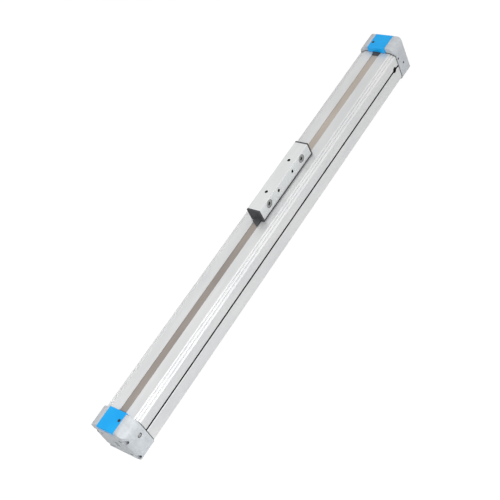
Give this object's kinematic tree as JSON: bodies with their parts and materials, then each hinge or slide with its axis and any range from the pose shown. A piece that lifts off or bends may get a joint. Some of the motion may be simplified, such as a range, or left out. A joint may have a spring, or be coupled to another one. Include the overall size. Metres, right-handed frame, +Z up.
{
  "type": "rodless pneumatic cylinder",
  "caption": "Slotted-barrel rodless air cylinder with sealing bands, a long slim carriage, cushioned end caps and clip-on band covers.",
  "frame": {"origin": "under the middle of the barrel, on the plane of the end caps' feet", "axes": "+X along the barrel, +Z up through the carriage's top"},
  "size_m": [0.75, 0.065, 0.0744],
  "materials": {
    "barrel_alloy": "satin anodised, drawn along the barrel",
    "cap_alloy": "fine blasted die casting",
    "carriage_alloy": "fine milled, clear anodised",
    "band_strip": "taupe coated steel strip",
    "bare_steel": "ground",
    "dark_steel": "black oxide",
    "grey_steel": "phosphated",
    "blue_plastic": "moulded, semi gloss",
    "black_plastic": "fine grained",
    "dark_plastic": "moulded",
    "piston_plastic": "turned acetal",
    "ring_plastic": "filled slide bearing plastic",
    "roller_plastic": "turned acetal",
    "black_rubber": "moulded",
    "brass_parts": "turned",
    "magnet_black": "pressed ferrite"
  },
  "bodies": {
    "housing": {"barrel": "barrel_alloy", "outer_band": "band_strip", "inner_band": "bare_steel", "end_cap_left": "cap_alloy", "end_cap_right": "cap_alloy", "cap_gasket_left": "black_rubber", "cap_gasket_right": "black_rubber", "cap_oring_left": "black_rubber", "cap_oring_right": "black_rubber", "cushion_tube_left": "brass_parts", "cushion_tube_right": "brass_parts", "band_cover_left": "blue_plastic", "band_cover_right": "blue_plastic", "band_clamp_left": "black_plastic", "band_clamp_right": "black_plastic", "cover_screws": "dark_steel", "clamp_screws": "dark_steel", "body_screws": "dark_steel", "port_plugs": "bare_steel", "drilling_plugs": "dark_steel"},
    "slider": {"carriage": "carriage_alloy", "piston_yoke": "carriage_alloy", "yoke_screws": "dark_steel", "sensor_magnets": "magnet_black", "piston_left": "piston_plastic", "piston_right": "piston_plastic", "piston_pins": "bare_steel", "piston_seal_left": "black_rubber", "piston_seal_right": "black_rubber", "guide_ring_left": "ring_plastic", "guide_ring_right": "ring_plastic", "cushion_seal_left": "black_rubber", "cushion_seal_right": "black_rubber", "end_cover_left": "black_plastic", "end_cover_right": "black_plastic", "side_strip_front": "black_plastic", "side_strip_back": "black_plastic", "band_guide_left": "dark_plastic", "band_guide_right": "dark_plastic", "roller_pins": "bare_steel", "side_screws": "grey_steel"},
    "needle_left": {"needle_left": "bare_steel", "needle_seal_left": "black_rubber"},
    "needle_right": {"needle_right": "bare_steel", "needle_seal_right": "black_rubber"},
    "roller_left": {"band_roller_left": "roller_plastic"},
    "roller_right": {"band_roller_right": "roller_plastic"}
  },
  "joints": [
    {"name": "carriage_slide", "type": "slide", "parent": "housing", "child": "slider", "axis": [1, 0, 0], "range_m": [-0.2834, 0.1666], "deforming": ["outer_band", "inner_band"]},
    {"name": "needle_turn_left", "type": "hinge", "parent": "housing", "child": "needle_left", "pos_m": [-0.355, -0.0315, 0.037], "axis": [0, -1, 0], "range_deg": [-360, 720]},
    {"name": "needle_turn_right", "type": "hinge", "parent": "housing", "child": "needle_right", "pos_m": [0.355, 0.0315, 0.037], "axis": [0, 1, 0], "range_deg": [-360, 720]},
    {"name": "roller_turn_left", "type": "hinge", "parent": "slider", "child": "roller_left", "pos_m": [0.00425, 0, 0.0572], "axis": [0, 1, 0], "range_deg": [-4080, 2400]},
    {"name": "roller_turn_right", "type": "hinge", "parent": "slider", "child": "roller_right", "pos_m": [0.11255, 0, 0.0572], "axis": [0, 1, 0], "range_deg": [-4080, 2400]}
  ],
  "couplings": [
    {"joint": "roller_turn_left", "follows": "carriage_slide", "rad_per_m": 250},
    {"joint": "roller_turn_right", "follows": "carriage_slide", "rad_per_m": 250}
  ]
}
